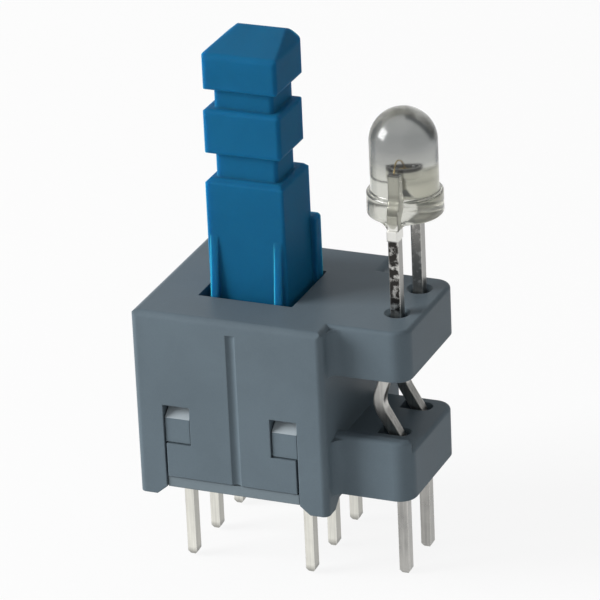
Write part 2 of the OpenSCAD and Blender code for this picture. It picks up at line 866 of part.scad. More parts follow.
// Bowed finger of the right-hand contact, drawn in X and Z
module finger_outline() {
    inner = slider_x - clip_t / 2;
    outer = blade_face - contact_gap - clip_t / 2;
    top = [inner, finger_z + clip_h / 2 - clip_t];
    crown = [outer, finger_z];
    bottom = [outer - 2 * clip_t, finger_z - clip_h / 2];
    polygon(strip_outline(concat([top], bend(top, crown, bottom, clip_h / 2), [bottom]), clip_t));
}

module contact_clip() {
    color("darkgoldenrod") {
        block(
            [slider_x - clip_t, -clip_reach, finger_z - clip_h / 2],
            [slider_x, clip_reach, finger_z + clip_h / 2]
        );
        for (y = [-finger_y, 0, finger_y])
            along_y(y - finger_w / 2, y + finger_w / 2) finger_outline();
    }
}

// Lamp

// Half of the lens's section, from its axis outwards
module lens_profile() {
    square([flange_d / 2, flange_t]);
    square([lens_r, lens_h - lens_r]);
    translate([0, lens_h - lens_r]) intersection() {
        circle(lens_r);
        square(lens_r);
    }
}

module led_lens() {
    color("whitesmoke", 0.4) difference() {
        translate([led_x, 0, led_z]) rotate_extrude() lens_profile();
        block(
            [led_x - flange_d, lens_r, led_z - cut],
            [led_x + flange_d, flange_d, led_z + flange_t + cut]
        );
        led_anode();
        led_cathode();
        led_chip();
        led_bond_wire();
    }
}

// Lead from the lamp's foot to the board's far side, with the kink between the arms
module lead_wire(y) {
    top = [led_x, frame_foot];
    neck = [led_x, kink_top];
    knee = [led_x - kink_out, kink_z];
    ankle = [led_x, kink_foot];
    end = [led_x, lower_arm_z];
    path = concat(
        [top],
        bend(top, neck, knee, bend_r),
        bend(neck, knee, ankle, kink_r),
        bend(knee, ankle, end, bend_r),
        [end]
    );
    along_y(y - lead_t / 2, y + lead_t / 2) polygon(strip_outline(path, lead_t));
    translate([led_x, y, 0]) intersection() {
        along_x(-lead_t, lead_t) chamfered_strip(lead_t, lead_reach, lower_arm_z + root);
        along_y(-lead_t, lead_t) chamfered_strip(lead_t, lead_reach, lower_arm_z + root);
    }
}

// Stub left where the leads were cut from their strip
module lead_stub(y) {
    block(
        [led_x - lead_t / 2, y - stub_w / 2, stub_top - stub_h],
        [led_x + lead_t / 2, y + stub_w / 2, stub_top]
    );
}

module led_anode() {
    color("silver") {
        lead_wire(-lead_y);
        lead_stub(-lead_y);
        along_x(led_x - lead_t / 2, led_x + lead_t / 2) polygon([
            [-lead_y - lead_t / 2, frame_foot],
            [-lead_y + lead_t / 2, frame_foot - lead_t / 2],
            [-post_y + post_w, frame_foot + lead_t],
            [-post_y + post_w / 2, frame_foot + 2 * lead_t],
            [-post_y + post_w / 2, chip_top],
            [-post_y - post_w / 2, chip_top],
            [-post_y - post_w / 2, frame_foot + lead_t]
        ]);
    }
}

module led_cathode() {
    color("silver") difference() {
        union() {
            lead_wire(lead_y);
            lead_stub(lead_y);
            along_x(led_x - lead_t / 2, led_x + lead_t / 2) polygon([
                [lead_y + lead_t / 2, frame_foot],
                [lead_y - lead_t / 2, frame_foot - lead_t / 2],
                [0, frame_foot + lead_t],
                [post_w - post_y + lead_t / 2, frame_foot + 2 * lead_t],
                [-cup_d / 2, anvil_z - cup_h],
                [post_y, anvil_z - cup_h],
                [post_y, frame_foot + lead_t]
            ]);
            translate([led_x, 0, anvil_z - cup_h - root]) cylinder(d = cup_d, h = cup_h + root);
        }
        translate([led_x, 0, anvil_z - cup_depth])
            cylinder(d1 = cup_d / 2, d2 = cup_mouth_d, h = cup_depth);
    }
}

module led_chip() {
    color("khaki")
        translate([led_x - chip_w / 2, -chip_w / 2, anvil_z - cup_depth]) cube([chip_w, chip_w, chip_h]);
}

module led_bond_wire() {
    color("gold") translate([led_x, -post_y / 2, chip_top]) rotate([90, 0, 90])
        rotate_extrude(angle = 180) translate([post_y / 2, 0]) circle(d = wire_t, $fn = 16);
}

housing();
terminal_base();
plunger();
return_spring();
lock_pin();
lock_pin_spring();
mirror([1, 0, 0]) contact_clip();  // contact_clip_left
contact_clip();  // contact_clip_right
terminal(-row_x, -pin_pitch) front_outline();  // terminal_left_front
terminal(-row_x, 0) middle_outline();  // terminal_left_middle
terminal(-row_x, pin_pitch) rear_outline();  // terminal_left_rear
terminal(row_x, -pin_pitch) front_outline();  // terminal_right_front
terminal(row_x, 0) middle_outline();  // terminal_right_middle
terminal(row_x, pin_pitch) rear_outline();  // terminal_right_rear
led_lens();
led_anode();
led_cathode();
led_chip();
led_bond_wire();
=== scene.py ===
"""Looks of an upright push-push switch: moulded plastics, tinned pins, and a clear lamp on a side bracket."""

import math

import bmesh
import bpy
from mathutils import Matrix, Vector


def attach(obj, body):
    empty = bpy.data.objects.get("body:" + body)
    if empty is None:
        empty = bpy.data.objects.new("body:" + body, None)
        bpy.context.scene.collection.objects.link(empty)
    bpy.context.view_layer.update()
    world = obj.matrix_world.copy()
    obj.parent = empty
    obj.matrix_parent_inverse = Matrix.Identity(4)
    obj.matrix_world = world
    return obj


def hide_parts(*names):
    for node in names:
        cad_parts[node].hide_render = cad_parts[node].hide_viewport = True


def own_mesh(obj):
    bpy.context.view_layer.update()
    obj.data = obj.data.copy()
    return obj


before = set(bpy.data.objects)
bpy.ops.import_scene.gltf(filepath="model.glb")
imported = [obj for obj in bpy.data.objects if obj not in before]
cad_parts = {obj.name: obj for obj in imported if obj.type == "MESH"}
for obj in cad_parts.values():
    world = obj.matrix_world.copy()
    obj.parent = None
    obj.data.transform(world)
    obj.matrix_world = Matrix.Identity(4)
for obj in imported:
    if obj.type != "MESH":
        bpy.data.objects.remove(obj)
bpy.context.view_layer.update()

MM = 0.001
WHITE = (1.0, 1.0, 1.0, 1.0)
BLACK = (0.0, 0.0, 0.0, 1.0)

# Sizes shared with the solids, in millimetres
LAMP_X, LAMP_Z = 6.45, 12.3
LENS_R, LENS_H = 1.41, 4.52
FLANGE_R, FLANGE_T = 1.585, 1.0
LEAD_Y, LEAD_T = 1.27, 0.45
FLOOR_Z = -3.6
SPRING_LOW, SPRING_HIGH = 1.32, 9.0
HOUSING_H = 8.3
STUB_Z = 11.58
BRIM_Z = 14.25
PIN_Z = -3.5
LIP_Z = 0.9
ANVIL_Z = 14.45

# Height where the painted shade on the leads' lower ends fades out, epoxy that creeps down the leads, and
# room at the spring's ends, in millimetres
SHADED_FOOT_Z = 1.0
CREEP_DEPTH, CREEP_FADE = 0.34, 0.13
SPRING_ROOM = 0.02

# Latch hooks' ramps, which get a painted highlight: upward part of their normal, the spread that still
# counts, and the mask's sharpness
RAMP_TILT, RAMP_SPREAD, RAMP_GAIN = 0.77, 0.12, 12.0

# Swing of the tone and the roughness over a surface, and depth of its relief in metres
CLOUD_DARK, CLOUD_PALE = 0.93, 1.07
PLASTIC_SWING, METAL_SWING = 0.16, 0.2
GRAIN_DEPTH, LINE_DEPTH = 0.00002, 0.00001
# Share of the painted highlight along moulded edges
PAINTED_EDGE_HIGHLIGHT = 0.55
BLOTCH_FROM, BLOTCH_TO = 0.66, 0.82
FADE = 0.01


# Shader helpers

def node_group(name, inputs, outputs):
    """A shader group with named sockets: its tree, its input node and its output node."""
    tree = bpy.data.node_groups.new(name, "ShaderNodeTree")
    for label, value in inputs.items():
        socket = tree.interface.new_socket(label, in_out="INPUT", socket_type="NodeSocketFloat")
        socket.default_value = value
    for label, kind in outputs.items():
        tree.interface.new_socket(label, in_out="OUTPUT", socket_type=kind)
    return tree, tree.nodes.new("NodeGroupInput"), tree.nodes.new("NodeGroupOutput")


def add(tree, kind, links=None, **settings):
    """A node with its settings, and with values or links on its sockets."""
    node = tree.nodes.new(kind)
    for key, value in settings.items():
        setattr(node, key, value)
    for key, value in (links or {}).items():
        if isinstance(value, bpy.types.NodeSocket):
            tree.links.new(value, node.inputs[key])
        else:
            node.inputs[key].default_value = value
    return node


def maths(tree, operation, a, b, clamp=False):
    """Output of a sum on two values or links."""
    return add(tree, "ShaderNodeMath", {0: a, 1: b}, operation=operation, use_clamp=clamp).outputs[0]


def mixed(tree, blend, factor, a, b):
    """Two colours mixed by a factor."""
    node = add(tree, "ShaderNodeMix", {0: factor, 6: a, 7: b}, data_type="RGBA", blend_type=blend)
    return node.outputs[2]


def ramp(tree, value, stops):
    """A colour ramp through (place, colour) stops."""
    node = add(tree, "ShaderNodeValToRGB", {"Fac": value})
    points = node.color_ramp.elements
    while len(points) < len(stops):
        points.new(0.5)
    for point, (place, colour) in zip(points, stops):
        point.position = place
        point.color = colour
    return node.outputs["Color"]


def moulded_grain_group():
    """Spark-eroded mould grain with soft flow clouds, in the piece's own space."""
    tree, given, out = node_group(
        "moulded_grain",
        {"Grain Per Metre": 16000.0, "Cloud Per Metre": 260.0},
        {"Height": "NodeSocketFloat", "Cloud": "NodeSocketFloat"},
    )
    place = add(tree, "ShaderNodeTexCoord").outputs["Object"]
    grain = add(tree, "ShaderNodeTexNoise", {
        "Vector": place, "Scale": given.outputs["Grain Per Metre"], "Detail": 3.0, "Roughness": 0.6,
    })
    pits = add(tree, "ShaderNodeTexVoronoi", {
        "Vector": place, "Scale": given.outputs["Grain Per Metre"],
    }, feature="SMOOTH_F1")
    height = maths(tree, "ADD", grain.outputs["Fac"], maths(tree, "MULTIPLY", pits.outputs["Distance"], 0.35))
    cloud = add(tree, "ShaderNodeTexNoise", {
        "Vector": place, "Scale": given.outputs["Cloud Per Metre"], "Detail": 4.0, "Roughness": 0.55,
        "Distortion": 0.6,
    })
    tree.links.new(height, out.inputs["Height"])
    tree.links.new(cloud.outputs["Fac"], out.inputs["Cloud"])
    return tree


def soft_edge_group():
    """Rounded normals along sharp edges, and a mask of those edges."""
    tree, given, out = node_group(
        "soft_edge",
        {"Radius": 0.00005, "Gain": 2.0},
        {"Normal": "NodeSocketVector", "Edge": "NodeSocketFloat"},
    )
    rounded = add(tree, "ShaderNodeBevel", {"Radius": given.outputs["Radius"]}, samples=6).outputs["Normal"]
    flat = add(tree, "ShaderNodeNewGeometry").outputs["Normal"]
    dot = add(tree, "ShaderNodeVectorMath", {0: rounded, 1: flat}, operation="DOT_PRODUCT").outputs["Value"]
    edge = maths(tree, "MULTIPLY", maths(tree, "SUBTRACT", 1.0, dot), given.outputs["Gain"], clamp=True)
    tree.links.new(rounded, out.inputs["Normal"])
    tree.links.new(edge, out.inputs["Edge"])
    return tree


def drawn_metal_group():
    """Fine draw lines along the piece's height, with cloudy plating."""
    tree, given, out = node_group(
        "drawn_metal",
        {"Lines Per Metre": 9000.0, "Stretch": 0.04, "Cloud Per Metre": 900.0},
        {"Lines": "NodeSocketFloat", "Cloud": "NodeSocketFloat"},
    )
    place = add(tree, "ShaderNodeTexCoord").outputs["Object"]
    parts = add(tree, "ShaderNodeSeparateXYZ", {0: place})
    stretched = add(tree, "ShaderNodeCombineXYZ", {
        "X": parts.outputs["X"], "Y": parts.outputs["Y"],
        "Z": maths(tree, "MULTIPLY", parts.outputs["Z"], given.outputs["Stretch"]),
    }).outputs["Vector"]
    lines = add(tree, "ShaderNodeTexNoise", {
        "Vector": stretched, "Scale": given.outputs["Lines Per Metre"], "Detail": 4.0, "Roughness": 0.65,
    })
    cloud = add(tree, "ShaderNodeTexNoise", {
        "Vector": place, "Scale": given.outputs["Cloud Per Metre"], "Detail": 5.0, "Roughness": 0.6,
    })
    tree.links.new(lines.outputs["Fac"], out.inputs["Lines"])
    tree.links.new(cloud.outputs["Fac"], out.inputs["Cloud"])
    return tree


def height_share_group():
    """Share of the way up between two heights of the piece, from 0 to 1."""
    tree, given, out = node_group(
        "height_share",
        {"Low": 0.0, "High": 0.01},
        {"Share": "NodeSocketFloat"},
    )
    place = add(tree, "ShaderNodeTexCoord").outputs["Object"]
    height = add(tree, "ShaderNodeSeparateXYZ", {0: place}).outputs["Z"]
    share = add(tree, "ShaderNodeMapRange", {
        "Value": height, "From Min": given.outputs["Low"], "From Max": given.outputs["High"],
    }).outputs["Result"]
    tree.links.new(share, out.inputs["Share"])
    return tree


MOULDED_GRAIN = moulded_grain_group()
SOFT_EDGE = soft_edge_group()
DRAWN_METAL = drawn_metal_group()
HEIGHT_SHARE = height_share_group()


def new_material(name):
    """A new material, its tree and its Principled shader."""
    material = bpy.data.materials.new(name)
    material.use_nodes = True
    tree = material.node_tree
    return material, tree, tree.nodes["Principled BSDF"]


def shade(colour, factor):
    """A colour made darker or paler."""
    return tuple(min(1.0, c * factor) for c in colour[:3]) + (1.0,)


def placed_group(tree, group, values):
    """A shared group in a material, with the material's own values."""
    node = add(tree, "ShaderNodeGroup", node_tree=group)
    for key, value in values.items():
        node.inputs[key].default_value = value
    return node


def moulded_plastic(
    name, colour, edge_highlight_colour, roughness, gloss_level, grain_bump, edge_radius=0.00006, painted_light=None,
):
    """Injection-moulded plastic: flow clouds, mould grain, a painted highlight along its edges, and painted
    light on the base's ramps and lip if asked.
    """
    material, tree, shader = new_material(name)
    shader.inputs["Specular IOR Level"].default_value = gloss_level
    grain = placed_group(tree, MOULDED_GRAIN, {"Grain Per Metre": 15000.0, "Cloud Per Metre": 240.0})
    edge = placed_group(tree, SOFT_EDGE, {"Radius": edge_radius, "Gain": 1.6})
    body = ramp(tree, grain.outputs["Cloud"], [
        (0.3, shade(colour, CLOUD_DARK)), (0.7, shade(colour, CLOUD_PALE)),
    ])
    speck = ramp(tree, grain.outputs["Height"], [(0.35, (0.95, 0.95, 0.95, 1.0)), (0.85, WHITE)])
    toned = mixed(tree, "MULTIPLY", 1.0, body, speck)
    # Painted light on the base's latch ramps and lip, if asked.
    if painted_light:
        toned = base_painted_light(tree, toned, **painted_light)
    # Painted highlight: edges mixed towards a paler colour.
    edge_highlight = maths(tree, "MULTIPLY", edge.outputs["Edge"], PAINTED_EDGE_HIGHLIGHT)
    tree.links.new(mixed(tree, "MIX", edge_highlight, toned, edge_highlight_colour), shader.inputs["Base Color"])
    swing = maths(tree, "MULTIPLY", grain.outputs["Cloud"], PLASTIC_SWING)
    tree.links.new(maths(tree, "ADD", swing, roughness - PLASTIC_SWING / 2), shader.inputs["Roughness"])
    bump = add(tree, "ShaderNodeBump", {
        "Strength": grain_bump, "Distance": GRAIN_DEPTH,
        "Height": grain.outputs["Height"], "Normal": edge.outputs["Normal"],
    })
    tree.links.new(bump.outputs["Normal"], shader.inputs["Normal"])
    return material


def base_painted_light(tree, toned, ramp_highlight_colour, lip_light_colour):
    """The base's colour with painted light: a painted highlight on its latch ramps, and painted light from
    below on the lip at its foot.
    """
    share = placed_group(tree, HEIGHT_SHARE, {"Low": 0.0, "High": LIP_Z * MM}).outputs["Share"]
    lip = ramp(tree, share, [(0.9, WHITE), (1.0, BLACK)])
    return mixed(tree, "MIX", snap_ramps(tree), mixed(tree, "MIX", lip, toned, lip_light_colour), ramp_highlight_colour)


def snap_ramps(tree):
    """Mask of the faces that slope like the latch hooks' ramps, where the painted highlight goes."""
    facing = add(tree, "ShaderNodeSeparateXYZ", {0: add(tree, "ShaderNodeNewGeometry").outputs["Normal"]})
    off = add(tree, "ShaderNodeMath", {0: maths(tree, "SUBTRACT", facing.outputs["Z"], RAMP_TILT)},
              operation="ABSOLUTE").outputs[0]
    return maths(tree, "MULTIPLY", maths(tree, "SUBTRACT", RAMP_SPREAD, off), RAMP_GAIN, clamp=True)


def drawn_metal(name, dark, pale, metal_edge_highlight, roughness, edge_radius=0.00004, lead=None, pin=False):
    """Plated or bare metal with draw lines and a painted highlight along its edges, marked like a lead or a
    pin if asked.
    """
    material, tree, shader = new_material(name)
    metal = placed_group(tree, DRAWN_METAL, {})
    edge = placed_group(tree, SOFT_EDGE, {"Radius": edge_radius, "Gain": 3.0})
    tone = maths(tree, "ADD", maths(tree, "MULTIPLY", metal.outputs["Lines"], 0.6),
                 maths(tree, "MULTIPLY", metal.outputs["Cloud"], 0.4))
    face = ramp(tree, tone, [(0.35, dark), (0.65, pale)])
    if lead:
        face = blotched_lead(tree, face, **lead)
    if pin:
        face = sheared_pin(tree, face)
    # Painted highlight along the edges.
    tree.links.new(mixed(tree, "MIX", edge.outputs["Edge"], face, metal_edge_highlight), shader.inputs["Base Color"])
    swing = maths(tree, "MULTIPLY", metal.outputs["Cloud"], METAL_SWING)
    tree.links.new(maths(tree, "ADD", swing, roughness - METAL_SWING / 2), shader.inputs["Roughness"])
    shader.inputs["Metallic"].default_value = 1.0
    bump = add(tree, "ShaderNodeBump", {
        "Strength": 0.12, "Distance": LINE_DEPTH,
        "Height": metal.outputs["Lines"], "Normal": edge.outputs["Normal"],
    })
    tree.links.new(bump.outputs["Normal"], shader.inputs["Normal"])
    return material


def blotched_lead(tree, face, blotch_colour, frame_colour):
    """A lead's colour: blotchy and dull up to its stub, clean plating in the lens, painted shade from its
    brim up, and painted shade on its lower end.
    """
    span = ANVIL_Z - HOUSING_H
    stub = (STUB_Z - HOUSING_H) / span
    lens = (LAMP_Z - HOUSING_H) / span
    brim = (BRIM_Z - HOUSING_H) / span
    share = placed_group(tree, HEIGHT_SHARE, {"Low": HOUSING_H * MM, "High": ANVIL_Z * MM}).outputs["Share"]
    fine = placed_group(tree, MOULDED_GRAIN, {"Grain Per Metre": 4200.0, "Cloud Per Metre": 900.0})
    blotch = ramp(tree, fine.outputs["Height"], [(BLOTCH_FROM, WHITE), (BLOTCH_TO, BLACK)])
    below = ramp(tree, share, [(0.0, BLACK), (0.03, WHITE), (stub - FADE, WHITE), (stub, BLACK)])
    rolled = rolled_faces(tree)
    spots = mixed(tree, "MULTIPLY", 1.0, mixed(tree, "MULTIPLY", 1.0, below, blotch), rolled)
    flanks = mixed(tree, "MULTIPLY", 1.0, below, mixed(tree, "SUBTRACT", 1.0, WHITE, rolled))
    # Painted shade on the lead under the switch, fading out by this height.
    foot = placed_group(tree, HEIGHT_SHARE, {"Low": 0.0, "High": SHADED_FOOT_Z * MM}).outputs["Share"]
    foot_shaded = mixed(tree, "MULTIPLY", 1.0, face, ramp(tree, foot, [(0.0, FOOT_SHADE), (1.0, WHITE)]))
    dull = mixed(tree, "MIX", flanks, mixed(tree, "MIX", spots, foot_shaded, blotch_colour), FLANK_TIN)
    plating = ramp(tree, share, [(lens - FADE, STUB_TIN), (lens, frame_colour)])
    plated = mixed(tree, "MIX", ramp(tree, share, [(stub - FADE, BLACK), (stub, WHITE)]), dull, plating)
    # Painted shade: the lead frame goes dark from its brim up.
    return mixed(tree, "MIX", ramp(tree, share, [(brim, BLACK), (brim + FADE, WHITE)]), plated, BRIM_SHADE)


def rolled_faces(tree):
    """Mask of a strip's rolled faces, front and back, without its sheared edges."""
    facing = add(tree, "ShaderNodeSeparateXYZ", {0: add(tree, "ShaderNodeNewGeometry").outputs["Normal"]})
    off = add(tree, "ShaderNodeMath", {0: facing.outputs["Y"]}, operation="ABSOLUTE").outputs[0]
    return ramp(tree, off, [(0.5, BLACK), (0.8, WHITE)])


def sheared_pin(tree, face):
    """A pin's colour: plated rolled faces, duller sheared edges and a cut tip without plating."""
    edges = mixed(tree, "MULTIPLY", 1.0, face, SHEARED_TIN)
    strip = mixed(tree, "MIX", rolled_faces(tree), edges, face)
    share = placed_group(tree, HEIGHT_SHARE, {"Low": PIN_Z * MM, "High": 0.0}).outputs["Share"]
    tip = ramp(tree, share, [(0.03, WHITE), (0.1, BLACK)])
    return mixed(tree, "MIX", tip, strip, mixed(tree, "MULTIPLY", 1.0, strip, CUT_TIN))


def cast_epoxy(name, foot_light_colour, dome_shade_colour, crown_light_colour):
    """Clear cast epoxy with a painted tint by height: painted shade in its dome and painted light at its foot
    and crown, with a faint mould haze.
    """
    material, tree, shader = new_material(name)
    grain = placed_group(tree, MOULDED_GRAIN, {"Grain Per Metre": 5000.0, "Cloud Per Metre": 150.0})
    share = placed_group(tree, HEIGHT_SHARE, {"Low": LAMP_Z * MM, "High": (LAMP_Z + LENS_H) * MM})
    # Painted light and shade by height: pale at the foot, dark in the dome, paler at the crown.
    painted_tint = ramp(tree, share.outputs["Share"], [
        (0.4, foot_light_colour), (0.56, dome_shade_colour), (0.82, dome_shade_colour), (0.95, crown_light_colour),
    ])
    tree.links.new(painted_tint, shader.inputs["Base Color"])
    tree.links.new(maths(tree, "MULTIPLY", grain.outputs["Cloud"], EPOXY_HAZE), shader.inputs["Roughness"])
    shader.inputs["IOR"].default_value = EPOXY_IOR
    shader.inputs["Specular IOR Level"].default_value = 0.35
    shader.inputs["Transmission Weight"].default_value = 1.0
    return material


def translucent(material, weight, radius, depth):
    """Lets some light wander under the surface, as thin moulded plastic does."""
    shader = material.node_tree.nodes["Principled BSDF"]
    shader.inputs["Subsurface Weight"].default_value = weight
    shader.inputs["Subsurface Radius"].default_value = radius
    shader.inputs["Subsurface Scale"].default_value = depth


def dressed(nodes, material):
    """Gives carried-over nodes their material."""
    for name in nodes:
        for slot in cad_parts[name].material_slots:
            slot.material = material


# Finishes

HOUSING_GRAY = (0.118, 0.154, 0.18, 1.0)
BASE_GRAY = (0.125, 0.163, 0.19, 1.0)
PLUNGER_BLUE = (0.009, 0.118, 0.245, 1.0)
# The pins' painted edge highlight; the stub tin below is also the leads' painted edge highlight.
PIN_EDGE_HIGHLIGHT = (0.88, 0.87, 0.83, 1.0)
STUB_TIN = (0.74, 0.735, 0.7, 1.0)
FLANK_TIN = (0.3, 0.297, 0.285, 1.0)
# Painted shade at the top of the lead frame in the lens
BRIM_SHADE = (0.1, 0.1, 0.095, 1.0)
SHEARED_TIN = (0.58, 0.58, 0.58, 1.0)
CUT_TIN = (0.5, 0.5, 0.5, 1.0)
# Painted shade on the leads under the switch
FOOT_SHADE = (0.72, 0.72, 0.72, 1.0)
EPOXY_HAZE, EPOXY_IOR = 0.32, 1.52

housing_plastic = moulded_plastic("housing_plastic", HOUSING_GRAY, (0.2, 0.235, 0.26, 1.0), 0.4, 0.07, 0.25)
# The base gets a painted highlight on its latch ramps and painted light on the lip at its foot.
base_plastic = moulded_plastic(
    "base_plastic", BASE_GRAY, (0.24, 0.27, 0.29, 1.0), 0.44, 0.07, 0.25,
    painted_light={"ramp_highlight_colour": (0.36, 0.41, 0.44, 1.0), "lip_light_colour": (0.165, 0.205, 0.23, 1.0)},
)
plunger_plastic = moulded_plastic(
    "plunger_plastic", PLUNGER_BLUE, (0.03, 0.17, 0.31, 1.0), 0.46, 0.03, 0.2, edge_radius=0.00018,
)
translucent(plunger_plastic, weight=0.65, radius=(0.2, 0.7, 1.0), depth=0.001)
pin_tin = drawn_metal(
    "pin_tin", (0.66, 0.65, 0.6, 1.0), (0.86, 0.85, 0.78, 1.0), PIN_EDGE_HIGHLIGHT, 0.36, pin=True,
)
front_lead_tin = drawn_metal(
    "front_lead_tin", (0.4, 0.395, 0.38, 1.0), (0.7, 0.69, 0.655, 1.0), STUB_TIN, 0.3, edge_radius=0.00009,
    lead={"blotch_colour": (0.035, 0.033, 0.031, 1.0), "frame_colour": (0.56, 0.555, 0.51, 1.0)},
)
rear_lead_tin = drawn_metal(
    "rear_lead_tin", (0.36, 0.355, 0.34, 1.0), (0.6, 0.59, 0.56, 1.0), STUB_TIN, 0.3, edge_radius=0.00009,
    lead={"blotch_colour": (0.24, 0.236, 0.226, 1.0), "frame_colour": (0.7, 0.69, 0.62, 1.0)},
)
spring_wire = drawn_metal(
    "spring_wire", (0.42, 0.42, 0.41, 1.0), (0.62, 0.62, 0.6, 1.0), (0.7, 0.7, 0.68, 1.0), 0.3,
)
bronze = drawn_metal(
    "contact_bronze", (0.5, 0.32, 0.13, 1.0), (0.78, 0.54, 0.25, 1.0), (0.86, 0.64, 0.34, 1.0), 0.32,
)
gold = drawn_metal(
    "bond_gold", (0.75, 0.5, 0.16, 1.0), (0.95, 0.7, 0.3, 1.0), (0.98, 0.78, 0.4, 1.0), 0.25,
)
die = moulded_plastic("lamp_die", (0.62, 0.5, 0.16, 1.0), (0.75, 0.65, 0.3, 1.0), 0.35, 0.5, 0.1)
# Clear epoxy with painted shade in its dome and painted light at its foot and crown.
epoxy = cast_epoxy(
    "clear_epoxy", (0.64, 0.645, 0.59, 1.0), (0.255, 0.265, 0.262, 1.0), (0.42, 0.43, 0.41, 1.0),
)

TERMINALS = [f"terminal_{side}_{row}" for side in ("left", "right") for row in ("front", "middle", "rear")]
dressed(["housing"], housing_plastic)
dressed(["terminal_base"], base_plastic)
dressed(["plunger"], plunger_plastic)
dressed(TERMINALS, pin_tin)
dressed(["led_anode"], front_lead_tin)
dressed(["led_cathode"], rear_lead_tin)
dressed(["return_spring", "lock_pin"], spring_wire)
dressed(["lock_pin_spring", "contact_clip_left", "contact_clip_right"], bronze)
dressed(["led_chip"], die)
dressed(["led_bond_wire"], gold)
dressed(["led_lens"], epoxy)


# Pieces of the scene's own

def finished(name, mesh, material, body, angle):
    """A piece from a bmesh, smoothed up to an angle, on a body."""
    data = bpy.data.meshes.new(name)
    bmesh.ops.recalc_face_normals(mesh, faces=mesh.faces)
    mesh.to_mesh(data)
    mesh.free()
    piece = bpy.data.objects.new(name, data)
    bpy.context.scene.collection.objects.link(piece)
    data.materials.append(material)
    data.shade_smooth()
    data.set_sharp_from_angle(angle=math.radians(angle))
    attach(piece, body)
    return piece


def arc(centre, radius, start, end, steps):
    """Points of an arc in the plane of a profile, in degrees."""
    return [
        (centre[0] + radius * math.cos(math.radians(start + (end - start) * i / steps)),
         centre[1] + radius * math.sin(math.radians(start + (end - start) * i / steps)))
        for i in range(steps + 1)
    ]


def meniscus(x, y):
    """Depth of the epoxy that creeps down the leads under the flange."""
    depth = 0.0
    for lead_y in (-LEAD_Y, LEAD_Y):
        away = math.hypot(max(abs(x) - LEAD_T / 2, 0.0), max(abs(y - lead_y) - LEAD_T / 2, 0.0))
        depth = max(depth, CREEP_DEPTH * math.exp(-away / CREEP_FADE))
    return depth


def lamp_lens():
    """Solid lens round the lead frame: domed body, flange with a flat, and epoxy creeping down the leads."""
    edge, fillet, sides, under_rings, edge_steps, dome_steps = 0.1, 0.1, 128, 36, 6, 40
    profile = [((FLANGE_R - edge) * i / under_rings, 0.0) for i in range(under_rings)]
    profile += arc((FLANGE_R - edge, edge), edge, -90, 0, edge_steps)
    profile += arc((FLANGE_R - edge, FLANGE_T - edge), edge, 0, 90, edge_steps)
    profile += arc((LENS_R + fillet, FLANGE_T + fillet), fillet, 270, 180, edge_steps)[1:]
    profile += arc((0.0, LENS_H - LENS_R), LENS_R, 0, 90, dome_steps)[:-1]
    profile.append((0.0, LENS_H))
    mesh = bmesh.new()
    rings = []
    for row, (r, z) in enumerate(profile):
        ring = []
        for i in range(1 if r == 0.0 else sides):
            turn = 2 * math.pi * i / sides
            x, y = r * math.cos(turn), min(r * math.sin(turn), LENS_R)
            sag = meniscus(x, y) if row <= under_rings else 0.0
            ring.append(mesh.verts.new(((LAMP_X + x) * MM, y * MM, (LAMP_Z + z - sag) * MM)))
        rings.append(ring)
    for low, high in zip(rings, rings[1:]):
        for i in range(sides):
            j = (i + 1) % sides
            if len(low) == 1:
                mesh.faces.new((low[0], high[i], high[j]))
            elif len(high) == 1:
                mesh.faces.new((low[i], low[j], high[0]))
            else:
                mesh.faces.new((low[i], low[j], high[j], high[i]))
    lens = finished("lamp_lens", mesh, epoxy, "body", angle=40)
    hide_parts("led_lens")


def tube(name, path, radius, sides, material, body):
    """Closed tube along a path of points in millimetres."""
    mesh = bmesh.new()
    rings = []
    normal = None
    for i, point in enumerate(path):
        ahead = Vector(path[min(i + 1, len(path) - 1)]) - Vector(path[max(i - 1, 0)])
        ahead.normalize()
        if normal is None:
            normal = ahead.orthogonal().normalized()
        normal = (normal - ahead * normal.dot(ahead)).normalized()
        side = ahead.cross(normal)
        ring = []
        for k in range(sides):
            turn = 2 * math.pi * k / sides
            spot = Vector(point) + (normal * math.cos(turn) + side * math.sin(turn)) * radius
            ring.append(mesh.verts.new(spot * MM))
        rings.append(ring)
    for low, high in zip(rings, rings[1:]):
        for k in range(sides):
            n = (k + 1) % sides
            mesh.faces.new((low[k], low[n], high[n], high[k]))
    mesh.faces.new(rings[0])
    mesh.faces.new(rings[-1])
    return finished(name, mesh, material, body, angle=50)


def coil_spring():
    """Return spring with closed end turns."""
    turns, steps, coil_r, wire_r, wire_sides = 9, 40, 1.0, 0.125, 12
    low, high = SPRING_LOW + SPRING_ROOM + wire_r, SPRING_HIGH - SPRING_ROOM - wire_r
    pitch = (high - low - 4 * wire_r) / (turns - 2)
    path = []
    for i in range(turns * steps + 1):
        turn = i / steps
        if turn < 1:
            z = low + 2 * wire_r * turn
        elif turn > turns - 1:
            z = high - 2 * wire_r * (turns - turn)
        else:
            z = low + 2 * wire_r + pitch * (turn - 1)
        angle = 2 * math.pi * turn
        path.append((coil_r * math.cos(angle), coil_r * math.sin(angle), z))
    spring = tube("coil_spring", path, wire_r, wire_sides, spring_wire, "body")
    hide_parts("return_spring")
    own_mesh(spring)


lamp_lens()
coil_spring()


# Stage, in metres

FLOOR_HALF, FLOOR_DROP = 1.5, 0.00001
FLOOR_PAPER = (0.9, 0.9, 0.9, 1.0)
FLOOR_GLOW = 0.88
AMBIENT = 0.42
CARD_X, CARD_HALF, CARD_LOW, CARD_HIGH = 0.085, 0.2, -0.003, 0.16
CARD_GRAY = (0.3, 0.3, 0.3, 1.0)
KEY_PLACE = (-0.324, -0.173, 0.163)
KEY_TARGET = (0.001, 0.0, 0.007)
KEY_SIZE, KEY_WATTS = 0.2, 1.89


